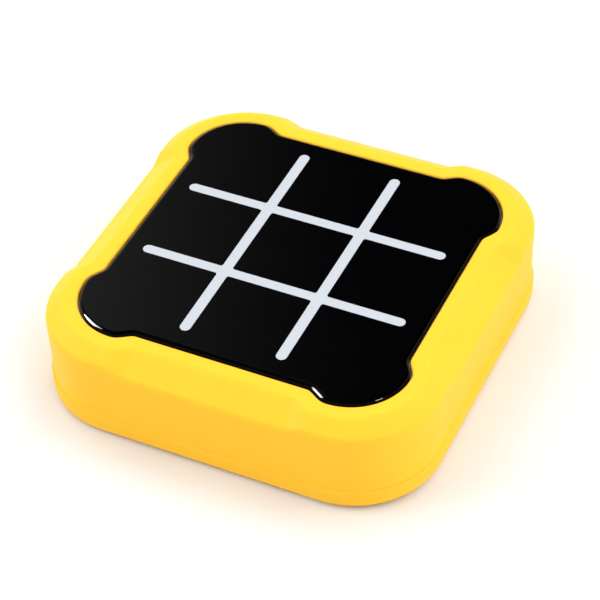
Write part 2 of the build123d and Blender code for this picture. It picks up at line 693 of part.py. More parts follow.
def battery_lead(y):
    """From a contact's solder tab, level to the right, then up to the board."""
    z = TAB_Z + CONTACT_THICK / 2 + LEAD_R
    start = TAB_OUT_X - LEAD_ON_TAB
    return lead([(start, y, z), (BATTERY_LEAD_X, y, z), (BATTERY_LEAD_X, y, BOARD_BASE)])


def speaker_lead(y):
    """From the speaker's terminals, level to the left, then up to the board."""
    x, z = SPEAKER_LEAD_X, SPEAKER_LEAD_Z
    return lead([(TERMINAL_X0, y, z), (x, y, z), (x, y, BOARD_BASE)])


# ---- write every node ---------------------------------------------------------------------------
def main():
    os.makedirs("parts", exist_ok=True)
    save("top_housing", make_top_housing())
    save("bottom_cover", make_bottom_cover())
    save("battery_door", make_battery_door())
    save("rubber_feet", *make_feet())
    save("play_panel", make_play_panel())
    save("grid_lines", make_grid_lines())
    save("panel_tray", make_panel_tray())
    save("key_sheet", make_key_sheet())
    save("key_pills", *make_key_pills())
    save("contact_pads", *make_contact_pads())
    save("game_lights", *make_lights())
    save("main_board", make_main_board())
    save("game_chip", make_game_chip())
    save("resistors", *make_resistors())
    save("power_button", make_button(-BUTTON_X))
    save("mode_button", make_button(BUTTON_X))
    save("power_switch", make_switch(-BUTTON_X))
    save("mode_switch", make_switch(BUTTON_X))
    save("power_plunger", make_plunger(-BUTTON_X))
    save("mode_plunger", make_plunger(BUTTON_X))
    for index in range(3):
        save(f"battery_cell_{index + 1}", make_cell(index))
    save("flat_contacts", *make_flat_contacts())
    save("spring_contacts", *make_spring_contacts())
    save("speaker", make_speaker())
    save("speaker_clamp", make_speaker_clamp())
    save("red_battery_lead", battery_lead(BATTERY_ROWS[0]))
    save("black_battery_lead", battery_lead(BATTERY_ROWS[2]))
    save("speaker_leads", *[
        speaker_lead(SPEAKER_Y + side * SPEAKER_LEAD_HALF_GAP) for side in (-1, 1)
    ])
    save("case_screws", *[
        screw(x * CASE_SCREW_AT, y * CASE_SCREW_AT, RECESS_TOP, CASE_SCREW_TIP) for x, y in CORNERS
    ])
    save("board_screws", *[
        screw(x * BOARD_SCREW_AT, y * BOARD_SCREW_AT, BOARD_BASE, BOARD_SCREW_TIP) for x, y in SIDES
    ])
    save("battery_door_screw", screw(
        0, DOOR_SCREW_Y, DOOR_SCREW_SEAT, DOOR_SCREW_TIP,
        core_r=DOOR_SCREW_CORE_R, head_r=DOOR_SCREW_HEAD_R, head_h=DOOR_SCREW_HEAD_H,
    ))


main()
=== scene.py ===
"""Looks of the hand-held electronic tic tac toe game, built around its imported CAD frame.

Everything is in metres in the frame's own axes: +Z up, -Y towards the player, origin on the table.
"""

import json
import math

import bmesh
import bpy
from mathutils import Matrix, Vector
from mathutils.kdtree import KDTree


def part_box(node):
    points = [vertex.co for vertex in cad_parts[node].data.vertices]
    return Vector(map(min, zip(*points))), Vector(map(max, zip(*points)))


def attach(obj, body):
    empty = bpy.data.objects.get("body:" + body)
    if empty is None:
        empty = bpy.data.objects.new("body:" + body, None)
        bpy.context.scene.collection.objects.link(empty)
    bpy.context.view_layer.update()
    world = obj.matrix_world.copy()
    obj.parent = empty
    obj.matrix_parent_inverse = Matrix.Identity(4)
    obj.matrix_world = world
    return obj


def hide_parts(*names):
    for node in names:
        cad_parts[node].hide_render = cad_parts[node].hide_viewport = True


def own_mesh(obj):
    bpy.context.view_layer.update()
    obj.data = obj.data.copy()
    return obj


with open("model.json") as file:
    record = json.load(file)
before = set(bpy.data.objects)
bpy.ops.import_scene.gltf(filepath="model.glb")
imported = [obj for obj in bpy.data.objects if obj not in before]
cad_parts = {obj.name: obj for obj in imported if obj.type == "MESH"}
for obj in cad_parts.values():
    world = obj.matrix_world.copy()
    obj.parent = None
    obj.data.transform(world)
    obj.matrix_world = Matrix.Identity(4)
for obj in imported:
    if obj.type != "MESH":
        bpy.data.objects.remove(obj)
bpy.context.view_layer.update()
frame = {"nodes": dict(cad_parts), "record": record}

NODES = frame["nodes"]
MM = 0.001

# ---- places on the CAD parts --------------------------------------------------------------------
PITCH = 24.64 * MM  # spacing of the nine cells
LENS_R = 1.9 * MM  # yellow lens in the middle of each cell's light
BOARD_BASE, BOARD_THICK = 14.5 * MM, 1.6 * MM
BOARD_TOP = BOARD_BASE + BOARD_THICK
CHIP_X, CHIP_HALF = -34.0 * MM, 3.0 * MM
CHIP_AREA_END = CHIP_X + 12 * MM  # the chip and the resistors lie left of it, the switches right of it
RESISTOR_X = -34.4 * MM
RESISTOR_ROWS = (0.0, 20 * MM)  # the stretch of Y that the resistors lie in
RESISTOR_ENDS = (1.15 * MM, 2.0 * MM)  # from a resistor's middle
SPEAKER_Y = 32.0 * MM
SPEAKER_FRONT_Z = 3.0 * MM
SCREW_SEAT_Z = 5.2 * MM
BUTTON_X, BUTTON_Z = 12.0 * MM, 12.1 * MM
BUTTON_FACE_Y = 50.0 * MM

# ---- view and light -----------------------------------------------------------------------------
PANEL_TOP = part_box("play_panel")[1].z
CAMERA_AZIMUTH = 26.8  # degrees
CAMERA_ELEVATION = 43.5
CAMERA_ROLL = -2.8
CAMERA_DISTANCE = 0.4978
CAMERA_AIM = Vector((8.43 * MM, -14.5 * MM, PANEL_TOP))
CAMERA_LENS = 127.6
SENSOR = 36.0
WIDE_AWAY = 1.8  # metres from the middle of the game to the wide softboxes
FLOOR_HALF = 3.0  # metres
FLOOR_FADE = (0.45, 1.20)  # metres from the middle over which the floor turns bright by itself
ROOM_STRENGTH = 0.002
HORIZON_STRENGTH = 1.0
HORIZON_BAND = (-0.34, -0.06)  # minus the sines of the heights where it begins and where it is full
GLOW_STRENGTH = 1.12
GLOW_SIDE, GLOW_SIDE_RISE = (-0.894, -0.447, 0), (-0.045, 0.115)  # from the left and a little in front
GLOW_BACK_RISE = (0.25, 0.50)  # and only towards the back


def make_camera():
    """A long lens from above the player's right shoulder, a little tilted."""
    azimuth, elevation = math.radians(CAMERA_AZIMUTH), math.radians(CAMERA_ELEVATION)
    level = Matrix.Rotation(azimuth, 4, "Z")
    pitch = Matrix.Rotation(math.pi / 2 - elevation, 4, "X")
    roll = Matrix.Rotation(math.radians(CAMERA_ROLL), 4, "Z")
    back = Matrix.Translation((0, 0, CAMERA_DISTANCE))
    data = bpy.data.cameras.new("camera")
    data.lens = CAMERA_LENS
    data.sensor_width = SENSOR
    data.clip_start = 0.01
    camera = bpy.data.objects.new("camera", data)
    camera.matrix_world = Matrix.Translation(CAMERA_AIM) @ level @ pitch @ roll @ back
    bpy.context.scene.collection.objects.link(camera)
    bpy.context.scene.camera = camera


def toward(azimuth, elevation):
    """Unit vector at an angle anticlockwise from +X and a height above the table, in degrees."""
    turn, rise = math.radians(azimuth), math.radians(elevation)
    return Vector((math.cos(rise) * math.cos(turn), math.cos(rise) * math.sin(turn), math.sin(rise)))


def softbox(name, azimuth, elevation, size, power, away=1.0):
    """A soft rectangular light that faces the middle of the game; size and power as at one metre."""
    data = bpy.data.lights.new(name, "AREA")
    data.shape = "RECTANGLE"
    data.size, data.size_y = (side * away for side in size)
    data.energy = power * away ** 2
    light = bpy.data.objects.new(name, data)
    place = toward(azimuth, elevation) * away
    facing = place.to_track_quat("Z", "Y").to_matrix().to_4x4()
    light.matrix_world = Matrix.Translation(place) @ facing
    bpy.context.scene.collection.objects.link(light)
    return light


def aim_only(lights, label, state):
    """Keeps lights for the glossy panel alone (INCLUDE), or flags them off it (EXCLUDE)."""
    group = bpy.data.collections.new(label)
    group.objects.link(NODES["play_panel"])
    group.collection_objects[0].light_linking.link_state = state
    for light in lights:
        light.light_linking.receiver_collection = group


def make_lights():
    """Wide softboxes for everything but the panel, two gloss lights for the panel alone, and the room."""
    wide = [
        softbox("key_softbox", 202, 24, (0.60, 0.30), 4.2, WIDE_AWAY),
        softbox("left_softbox", 190, 50, (1.20, 0.80), 7.0, WIDE_AWAY),
        softbox("right_softbox", -10, 38, (1.20, 1.00), 5.9, WIDE_AWAY),
        softbox("back_softbox", 60, 54, (1.20, 1.00), 9.4, WIDE_AWAY),
        softbox("fill_softbox", -30, 22, (0.70, 0.50), 2.3, WIDE_AWAY),
    ]
    aim_only(wide, "flagged_off_panel", "EXCLUDE")
    gloss = [
        softbox("gloss_left", 201, 23, (0.50, 0.75), 130.0),
        softbox("gloss_right", -23, 19, (0.20, 0.16), 10.5),
    ]
    aim_only(gloss, "panel_gloss", "INCLUDE")
    make_world()
    view = bpy.context.scene.view_settings
    view.view_transform = "Standard"
    view.look = "None"


def make_world():
    """A dim room that is bright from the horizon down, with a soft glow at the back left."""
    world = bpy.data.worlds.new("studio")
    world.use_nodes = True
    tree = world.node_tree
    direction = tree.nodes.new("ShaderNodeTexCoord").outputs["Generated"]

    def along(axis, low, high, power=1.0):
        """Rises from none to full strength as the direction turns towards the axis."""
        dot = tree.nodes.new("ShaderNodeVectorMath")
        dot.operation = "DOT_PRODUCT"
        tree.links.new(direction, dot.inputs[0])
        dot.inputs[1].default_value = axis
        span = tree.nodes.new("ShaderNodeMapRange")
        tree.links.new(dot.outputs["Value"], span.inputs["Value"])
        span.inputs["From Min"].default_value = low
        span.inputs["From Max"].default_value = high
        curve = tree.nodes.new("ShaderNodeMath")
        curve.operation = "POWER"
        tree.links.new(span.outputs["Result"], curve.inputs[0])
        curve.inputs[1].default_value = power
        return curve.outputs["Value"]

    def combine(operation, first, second):
        math_node = tree.nodes.new("ShaderNodeMath")
        math_node.operation = operation
        for socket, value in zip(math_node.inputs, (first, second)):
            if isinstance(value, float):
                socket.default_value = value
            else:
                tree.links.new(value, socket)
        return math_node.outputs["Value"]

    horizon = combine("MULTIPLY", along((0, 0, -1), *HORIZON_BAND), HORIZON_STRENGTH)
    from_left = along(GLOW_SIDE, *GLOW_SIDE_RISE, power=2.0)
    from_back = along((0, 1, 0), *GLOW_BACK_RISE)
    glow = combine("MULTIPLY", combine("MULTIPLY", from_left, from_back), GLOW_STRENGTH)
    strength = combine("ADD", combine("ADD", horizon, glow), ROOM_STRENGTH)
    background = tree.nodes["Background"]
    background.inputs["Color"].default_value = (1.0, 1.0, 1.0, 1.0)
    tree.links.new(strength, background.inputs["Strength"])
    bpy.context.scene.world = world


def make_floor():
    """A wide flat sheet of pale paper."""
    corners = [(x * FLOOR_HALF, y * FLOOR_HALF, 0) for x, y in ((-1, -1), (1, -1), (1, 1), (-1, 1))]
    mesh = bpy.data.meshes.new("floor")
    mesh.from_pydata(corners, [], [range(len(corners))])
    mesh.materials.append(floor_paper().material)
    floor = bpy.data.objects.new("floor", mesh)
    bpy.context.scene.collection.objects.link(floor)


# ---- materials ----------------------------------------------------------------------------------
CLOUD_EDGES = (0.35, 0.65)  # noise values where the clouds of colour begin and are full
PATCH_EDGES = (0.3, 0.7)  # the same for patches of roughness
TIN = (0.62, 0.62, 0.60)


class Look:
    """A procedural material that is built up step by step on one principled shader."""

    def __init__(self, name, color, roughness=0.5, metallic=0.0, ior=1.5):
        self.material = bpy.data.materials.new(name)
        self.material.use_nodes = True
        self.tree = self.material.node_tree
        self.shader = self.tree.nodes["Principled BSDF"]
        self.color = (*color, 1.0)
        self.set("Base Color", self.color)
        self.set("Roughness", roughness)
        self.set("Metallic", metallic)
        self.set("IOR", ior)
        self.roughness = roughness
        self.place = self.node("ShaderNodeTexCoord").outputs["Object"]

    def set(self, socket, value):
        self.shader.inputs[socket].default_value = value

    def node(self, kind, **values):
        made = self.tree.nodes.new(kind)
        for key, value in values.items():
            setattr(made, key, value)
        return made

    def link(self, output, socket):
        self.tree.links.new(output, socket)

    def noise(self, scale, detail=3.0):
        made = self.node("ShaderNodeTexNoise")
        made.inputs["Scale"].default_value = scale
        made.inputs["Detail"].default_value = detail
        self.link(self.place, made.inputs["Vector"])
        return made.outputs["Fac"]

    def span(self, factor, low, high, from_low, from_high):
        """The factor, moved from one pair of limits to another."""
        made = self.node("ShaderNodeMapRange")
        self.link(factor, made.inputs["Value"])
        made.inputs["From Min"].default_value = from_low
        made.inputs["From Max"].default_value = from_high
        made.inputs["To Min"].default_value = low
        made.inputs["To Max"].default_value = high
        return made.outputs["Result"]

    def part(self, axis):
        """One coordinate of the place on the object, in metres."""
        made = self.node("ShaderNodeSeparateXYZ")
        self.link(self.place, made.inputs["Vector"])
        return made.outputs[axis]

    def math(self, operation, *values):
        """The outcome of a sum on sockets and plain numbers."""
        made = self.node("ShaderNodeMath", operation=operation)
        for socket, value in zip(made.inputs, values):
            if isinstance(value, (int, float)):
                socket.default_value = value
            else:
                self.link(value, socket)
        return made.outputs["Value"]

    def within(self, value, low, high):
        """One where the value lies between two limits, and none elsewhere."""
        above = self.math("GREATER_THAN", value, low)
        return self.math("MULTIPLY", above, self.math("LESS_THAN", value, high))

    def reach(self, first, second):
        """Length of the diagonal of two distances."""
        squares = [self.math("MULTIPLY", value, value) for value in (first, second)]
        return self.math("SQRT", self.math("ADD", *squares))

    def off_cell(self):
        """Distance in plan from the middle of the nearest of the nine cells."""
        half = PITCH / 2
        return self.reach(*(self.math("WRAP", self.part(axis), half, -half) for axis in "XY"))

    def paint(self, mask, color, **values):
        """Lays a colour and other shader values over what is there, where the mask is one."""
        self.lay(mask, "Base Color", (*color, 1.0))
        for name, value in values.items():
            self.lay(mask, name.replace("_", " ").title(), value)

    def lay(self, mask, name, value):
        """Mixes a value over what feeds one socket of the shader."""
        # the mix node has its own pair of inputs, and its own output, for each kind of value
        kind, low, out = ("RGBA", 6, 2) if name == "Base Color" else ("FLOAT", 2, 0)
        mix = self.node("ShaderNodeMix", data_type=kind)
        socket = self.shader.inputs[name]
        self.link(mask, mix.inputs[0])
        if socket.is_linked:
            self.link(socket.links[0].from_socket, mix.inputs[low])
        else:
            mix.inputs[low].default_value = socket.default_value
        mix.inputs[low + 1].default_value = value
        self.link(mix.outputs[out], socket)

    def vary_color(self, scale, darker):
        """Soft clouds between the colour and a darker one."""
        ramp = self.node("ShaderNodeValToRGB")
        dark, full = ramp.color_ramp.elements
        dark.position, full.position = CLOUD_EDGES
        dark.color = (*(channel * darker for channel in self.color[:3]), 1.0)
        full.color = self.color
        self.link(self.noise(scale), ramp.inputs["Fac"])
        self.link(ramp.outputs["Color"], self.shader.inputs["Base Color"])

    def vary_roughness(self, scale, spread):
        """Patches a little smoother and a little rougher."""
        low, high = self.roughness - spread, self.roughness + spread
        patches = self.span(self.noise(scale), low, high, *PATCH_EDGES)
        self.link(patches, self.shader.inputs["Roughness"])

    def grain(self, scale, depth, detail=2.0):
        """A fine moulded surface grain."""
        bump = self.node("ShaderNodeBump")
        bump.inputs["Distance"].default_value = depth
        self.link(self.noise(scale, detail), bump.inputs["Height"])
        self.link(bump.outputs["Normal"], self.shader.inputs["Normal"])


def floor_paper():
    """Pale paper that turns into the bright surround far from the game."""
    look = Look("floor_paper", (0.775, 0.775, 0.77), roughness=0.6)
    look.vary_color(scale=40.0, darker=0.985)
    look.grain(scale=3000.0, depth=0.02 * MM)
    from_middle = look.reach(look.part("X"), look.part("Y"))
    look.link(look.span(from_middle, 0.0, 1.0, *FLOOR_FADE), look.shader.inputs["Emission Strength"])
    return look


def yellow_case():
    """Satin plastic with a fine moulded grain."""
    look = Look("yellow_case", (0.95, 0.525, 0.034), roughness=0.42)
    look.vary_color(scale=90.0, darker=0.975)
    look.set("Specular IOR Level", 0.06)
    look.vary_roughness(scale=1200.0, spread=0.05)
    look.grain(scale=7000.0, depth=0.012 * MM)
    return look


def smoked_panel():
    """Polished plastic, so dark that only its gloss shows."""
    look = Look("smoked_panel", (0.0003, 0.0003, 0.0004), roughness=0.05, ior=1.49)
    look.set("Specular IOR Level", 0.10)
    look.vary_roughness(scale=300.0, spread=0.02)
    look.vary_color(scale=150.0, darker=0.8)
    return look


def grid_ink():
    """Matt light grey print."""
    look = Look("grid_ink", (0.46, 0.49, 0.53), roughness=0.45, ior=1.49)
    look.vary_color(scale=900.0, darker=0.97)
    look.grain(scale=6000.0, depth=0.004 * MM)
    return look


def moulded(name, color, roughness=0.45):
    """Plain plastic or rubber with faint clouds of colour and a fine grain."""
    look = Look(name, color, roughness=roughness)
    look.vary_color(scale=200.0, darker=0.94)
    look.vary_roughness(scale=1500.0, spread=0.06)
    look.grain(scale=8000.0, depth=0.01 * MM)
    return look


def metal(name, color, roughness=0.28):
    """Plain metal with uneven polish."""
    look = Look(name, color, roughness=roughness, metallic=1.0)
    look.vary_color(scale=400.0, darker=0.90)
    look.vary_roughness(scale=2500.0, spread=0.10)
    look.grain(scale=5000.0, depth=0.006 * MM)
    return look


def silicone():
    """Milky rubber that light sinks into a little."""
    look = moulded("silicone", (0.72, 0.74, 0.74), 0.55)
    look.set("Subsurface Weight", 0.4)
    look.set("Subsurface Scale", 1.5 * MM)
    return look


def light_body():
    """White lamp bodies, each with a yellow lens in the middle."""
    look = moulded("light_body", (0.85, 0.85, 0.80), 0.3)
    look.paint(look.math("LESS_THAN", look.off_cell(), LENS_R), (0.86, 0.70, 0.12), roughness=0.15)
    return look


def circuit_board():
    """Green lacquer over runs of copper, with tinned holes and the bare edge of the sheet."""
    look = moulded("circuit_board", (0.008, 0.10, 0.035), 0.30)
    regions = look.node("ShaderNodeTexVoronoi", distance="CHEBYCHEV")
    regions.inputs["Scale"].default_value = 110.0
    look.link(look.place, regions.inputs["Vector"])
    half_pitch, half_wide, hole_size, skin = 0.55 * MM, 0.16 * MM, 0.07, 0.05 * MM
    runs_x = look.math("PINGPONG", look.part("Y"), half_pitch)
    runs_y = look.math("PINGPONG", look.part("X"), half_pitch)
    turned = look.math("GREATER_THAN", regions.outputs["Color"], 0.5)
    straight = look.math("SUBTRACT", 1.0, turned)
    off_run = look.math("MULTIPLY_ADD", turned, runs_x, look.math("MULTIPLY", straight, runs_y))
    look.paint(look.math("LESS_THAN", off_run, half_wide), (0.02, 0.20, 0.07), roughness=0.25)
    holes = look.node("ShaderNodeTexVoronoi")
    holes.inputs["Scale"].default_value = 160.0
    look.link(look.place, holes.inputs["Vector"])
    look.paint(look.math("LESS_THAN", holes.outputs["Distance"], hole_size), TIN, metallic=1.0)
    edge = look.within(look.part("Z"), BOARD_BASE + skin, BOARD_TOP - skin)
    look.paint(edge, (0.45, 0.38, 0.20), roughness=0.6)
    return look


def chip_plastic():
    """Black moulded parts with tinned legs and ends."""
    look = moulded("chip_plastic", (0.015, 0.015, 0.017), 0.5)
    chip_area = look.math("LESS_THAN", look.part("X"), CHIP_AREA_END)
    off_chip = look.math("ABSOLUTE", look.math("SUBTRACT", look.part("X"), CHIP_X))
    past_side = look.math("GREATER_THAN", off_chip, CHIP_HALF + 0.02 * MM)
    legs = look.math("MULTIPLY", chip_area, past_side)
    off_resistor = look.math("ABSOLUTE", look.math("SUBTRACT", look.part("X"), RESISTOR_X))
    in_rows = look.within(look.part("Y"), *RESISTOR_ROWS)
    ends = look.math("MULTIPLY", in_rows, look.within(off_resistor, *RESISTOR_ENDS))
    for tinned in (legs, ends):
        look.paint(tinned, TIN, metallic=1.0, roughness=0.3)
    return look


RING_MARK = (0.95 * MM, 1.25 * MM)  # inner and outer radius of the power key's broken ring
RING_GAP_HALF = 0.45 * MM
BAR_HALF, BAR_ENDS = 0.15 * MM, (0.1 * MM, 1.45 * MM)
DOT_R, DOT_HALF_PITCH, DOT_ROW_HALF = 0.38 * MM, 0.8 * MM, 2.4 * MM


def power_mark(look, up):
    """The mask of a ring that is broken at the top, with a bar in its gap."""
    off_key = look.math("ADD", look.part("X"), BUTTON_X)
    beside = look.math("ABSOLUTE", off_key)
    ring = look.within(look.reach(off_key, up), *RING_MARK)
    above = look.math("GREATER_THAN", up, 0.0)
    gap = look.math("MULTIPLY", look.math("LESS_THAN", beside, RING_GAP_HALF), above)
    ring = look.math("MULTIPLY", ring, look.math("SUBTRACT", 1.0, gap))
    bar = look.math("MULTIPLY", look.math("LESS_THAN", beside, BAR_HALF), look.within(up, *BAR_ENDS))
    return look.math("MAXIMUM", ring, bar)


def mode_mark(look, up):
    """The mask of three dots in a row."""
    off_key = look.math("SUBTRACT", look.part("X"), BUTTON_X)
    in_row = look.math("LESS_THAN", look.math("ABSOLUTE", off_key), DOT_ROW_HALF)
    repeat = look.math("WRAP", off_key, DOT_HALF_PITCH, -DOT_HALF_PITCH)
    return look.math("MULTIPLY", look.math("LESS_THAN", look.reach(repeat, up), DOT_R), in_row)


def button_plastic():
    """Dark keys, each with its pale mark on the face."""
    look = moulded("button_plastic", (0.018, 0.018, 0.019), 0.4)
    mark_depth = 0.2 * MM
    face = look.math("GREATER_THAN", look.part("Y"), BUTTON_FACE_Y - mark_depth)
    up = look.math("SUBTRACT", look.part("Z"), BUTTON_Z)
    marks = look.math("MAXIMUM", power_mark(look, up), mode_mark(look, up))
    look.paint(look.math("MULTIPLY", face, marks), (0.72, 0.72, 0.70), roughness=0.5)
    return look


SLEEVE_BANDS = ((16.5 * MM, 17.3 * MM), (18.2 * MM, 18.8 * MM))  # from the middle of a cell
SLEEVE_HALF, CELL_REACH = 21.0 * MM, 30 * MM


def cell_sleeve():
    """A blue printed sleeve with two pale bands at each end, and bare steel past it."""
    look = moulded("cell_sleeve", (0.03, 0.08, 0.30), 0.3)
    from_middle = look.math("ABSOLUTE", look.part("X"))
    for band in SLEEVE_BANDS:
        look.paint(look.within(from_middle, *band), (0.75, 0.76, 0.78), roughness=0.25)
    bare = look.within(from_middle, SLEEVE_HALF, CELL_REACH)
    look.paint(bare, (0.70, 0.70, 0.68), metallic=1.0, roughness=0.25)
    return look


def speaker_frame():
    """A pressed steel frame round a dark paper cone that faces the grille."""
    look = metal("speaker_frame", (0.5, 0.5, 0.5), 0.4)
    cone_r = 8.6 * MM
    off_axis = look.reach(look.part("X"), look.math("SUBTRACT", look.part("Y"), SPEAKER_Y))
    front = look.math("LESS_THAN", look.part("Z"), SPEAKER_FRONT_Z + 0.05 * MM)
    cone = look.math("MULTIPLY", front, look.math("LESS_THAN", off_axis, cone_r))
    look.paint(cone, (0.02, 0.02, 0.02), metallic=0.0, roughness=0.85)
    return look


def screw_steel():
    """Plated screws with painted shade: dark, rougher bands along the shaft where the thread's grooves
    lie.
    """
    look = metal("screw_steel", (0.58, 0.57, 0.55), 0.35)
    half_pitch, half_groove = 0.45 * MM, 0.12 * MM
    turns = look.math("PINGPONG", look.part("Z"), half_pitch)
    shaft = look.math("GREATER_THAN", look.part("Z"), SCREW_SEAT_Z)
    # painted shade: the thread's grooves are darkened as if they lay in shadow
    groove_shade_mask = look.math("MULTIPLY", shaft, look.math("LESS_THAN", turns, half_groove))
    look.paint(groove_shade_mask, (0.20, 0.19, 0.18), roughness=0.5)
    return look


LOOKS = {
    "yellow_case": yellow_case(),
    "smoked_panel": smoked_panel(),
    "grid_ink": grid_ink(),
    "rubber": moulded("rubber", (0.02, 0.02, 0.021), 0.75),
    "white_plastic": moulded("white_plastic", (0.80, 0.80, 0.78)),
    "silicone": silicone(),
    "carbon": moulded("carbon", (0.012, 0.012, 0.013), 0.8),
    "gold": metal("gold", (0.83, 0.58, 0.22)),
    "light_body": light_body(),
    "circuit_board": circuit_board(),
    "chip_plastic": chip_plastic(),
    "button_plastic": button_plastic(),
    "cell_sleeve": cell_sleeve(),
    "plated_steel": metal("plated_steel", (0.72, 0.72, 0.70)),
    "speaker_frame": speaker_frame(),
    "red_insulation": moulded("red_insulation", (0.55, 0.015, 0.012), 0.4),
    "black_insulation": moulded("black_insulation", (0.012, 0.012, 0.012), 0.4),
    "screw_steel": screw_steel(),
}


# ---- pieces -------------------------------------------------------------------------------------
SHORTEST_REACH = 0.3  # neighbours; a shorter average changes nothing


def new_piece(name, mesh, body, slot, smooth_below=30.0):
    """Puts a mesh in the scene as a piece on a body, in a record slot's look."""
    for polygon in mesh.polygons:
        polygon.use_smooth = True
    mesh.set_sharp_from_angle(angle=math.radians(smooth_below))
    piece = bpy.data.objects.new(name, mesh)
    bpy.context.scene.collection.objects.link(piece)
    mesh.materials.clear()
    mesh.materials.append(LOOKS[slot].material)
    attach(piece, body)
    return piece


def loop_mesh(name, rows, capped=False):
    """A closed skin through rings of points, capped at both ends or joined from last ring to first."""
    count = len(rows[0])
    points = [point for row in rows for point in row]
    faces = []
    if capped:
        faces = [tuple(range(count)), tuple(range(len(points) - count, len(points)))]
    for first in range(len(rows) - int(capped)):
        second = (first + 1) % len(rows)
        for index in range(count):
            after = (index + 1) % count
            faces.append((
                first * count + index, first * count + after,
                second * count + after, second * count + index,
            ))
    mesh = bpy.data.meshes.new(name)
    mesh.from_pydata(points, [], faces)
    outward(mesh)
    return mesh


def outward(mesh):
    """Turns every face to look out of its closed skin."""
    work = bmesh.new()
    work.from_mesh(mesh)
    bmesh.ops.recalc_face_normals(work, faces=work.faces)
    work.to_mesh(mesh)
    work.free()


def spread(first, last, count):
    """Evenly spaced values from first up to but not including last."""
    return [first + (last - first) * index / count for index in range(count)]


def soft_average(values, reach):
    """Each value of a closed ring averaged with its neighbours, on a bell curve."""
    if reach < SHORTEST_REACH:
        return list(values)
    width = math.ceil(3 * reach)
    offsets = range(-width, width + 1)
    weights = [math.exp(-0.5 * (offset / reach) ** 2) for offset in offsets]
    total = sum(weights)
    count = len(values)
    return [
        sum(weight * values[(index + offset) % count] for weight, offset in zip(weights, offsets)) / total
        for index in range(count)
    ]


def cut(piece, cutter):
    """Takes the cutter out of the piece for good."""
    modifier = piece.modifiers.new("cut", "BOOLEAN")
    modifier.operation = "DIFFERENCE"
    modifier.object = cutter
    modifier.solver = "EXACT"
    apply_modifiers(piece)
    bpy.data.objects.remove(cutter)


def apply_modifiers(piece):
    """Makes the piece's modifiers part of its mesh."""
    graph = bpy.context.evaluated_depsgraph_get()
    mesh = bpy.data.meshes.new_from_object(piece.evaluated_get(graph))
    piece.modifiers.clear()
    piece.data = mesh


# ---- top housing --------------------------------------------------------------------------------
RAYS = 720
SPLIT_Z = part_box("top_housing")[0].z
RING_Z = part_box("top_housing")[1].z
WALL_HALF = 49.7 * MM  # at the height of the ring
WALL_R = 21.4 * MM
WALL_LEAN = 0.3 * MM
WALL_THICK = 2.0 * MM
FOOT_FLARE_R = 0.22 * MM  # the wall curves out a little to meet the ledge of the cover
PANEL_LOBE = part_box("play_panel")[1].x
PANEL_SIDE = 39.2 * MM
LOBE_CENTRE = 27.5 * MM
LOBE_R = PANEL_LOBE - LOBE_CENTRE
FLANK_ANGLE = math.radians(32)
FLANK_INNER_R = 3.2 * MM
FLANK_OUTER_R = 4.0 * MM
PANEL_GAP = 0.45 * MM
OPENING_R = 0.5 * MM
OPENING_DEPTH = 1.8 * MM
TRAY_SPACE = 2.0 * MM
RING_OUT = PANEL_GAP + 3.6 * MM
RING_INNER_R, RING_OUTER_R = 0.3 * MM, 1.6 * MM  # bends at the ends of a flank, along the ring's edge
RING_FLANK = 20.6 * MM  # from a side's middle to the start of its flank, along the ring's edge
SLOPE_ANGLE = math.radians(36)
SLOPE_SKIN = 2.2 * MM
CREASE_R = 2.1 * MM
RIDGE_REACH = 0.75 * MM  # how far in from the wall its round top edge begins
RIDGE_LEAN = WALL_LEAN / 8  # the wall's lean at about the height of that edge
SLOPE_PROBE = 0.3 * MM
VALLEY_SOFTNESS = 0.25 * MM
VALLEY_REACH = VALLEY_SOFTNESS / (2 * math.pi * WALL_HALF / RAYS)  # the same, in rays
SLOT_HALF_X, SLOT_HALF_Z, SLOT_END_R = 5.75 * MM, 2.75 * MM, 2.5 * MM
SLOT_FROM_Y, SLOT_TO_Y = 45 * MM, 52 * MM
OPENING_STEPS, BAND_STEPS, RIDGE_STEPS, WALL_STEPS, FLARE_STEPS, INNER_STEPS = 5, 30, 8, 5, 4, 5
SIDE_POINTS, HOLLOW_POINTS, FLANK_POINTS, ROUNDED_POINTS, LOBE_POINTS = 200, 30, 30, 40, 120
HALVINGS = 26  # of the search for the opening's edge


def panel_outline():
    """Closely spaced points round the lobed play panel."""
    inner_r, outer_r = FLANK_INNER_R, FLANK_OUTER_R
    bend = (inner_r + outer_r) * (1 - math.cos(FLANK_ANGLE))
    flank = (PANEL_LOBE - PANEL_SIDE - bend) / math.sin(FLANK_ANGLE)
    start = LOBE_CENTRE - (inner_r + outer_r) * math.sin(FLANK_ANGLE) - flank * math.cos(FLANK_ANGLE)

    def hollow(turn):
        return (PANEL_SIDE + inner_r * (1 - math.cos(turn)), start + inner_r * math.sin(turn))

    def rounded(turn):
        return (PANEL_LOBE - outer_r * (1 - math.cos(turn)), LOBE_CENTRE - outer_r * math.sin(turn))

    def lobe(turn):
        return (LOBE_CENTRE + LOBE_R * math.cos(turn), LOBE_CENTRE + LOBE_R * math.sin(turn))

    near, far = Vector(hollow(FLANK_ANGLE)), Vector(rounded(FLANK_ANGLE))
    half = [(PANEL_SIDE, y) for y in spread(0, start, SIDE_POINTS)]
    half += [hollow(turn) for turn in spread(0, FLANK_ANGLE, HOLLOW_POINTS)]
    half += [tuple(near.lerp(far, share)) for share in spread(0, 1, FLANK_POINTS)]
    half += [rounded(turn) for turn in spread(FLANK_ANGLE, 0, ROUNDED_POINTS)]
    half += [lobe(turn) for turn in spread(0, math.pi / 4, LOBE_POINTS)]
    quarter = [Vector(point) for point in half] + [Vector((y, x)) for x, y in reversed(half)]
    return [Matrix.Rotation(math.radians(90 * turn), 2) @ point for turn in range(4) for point in quarter]


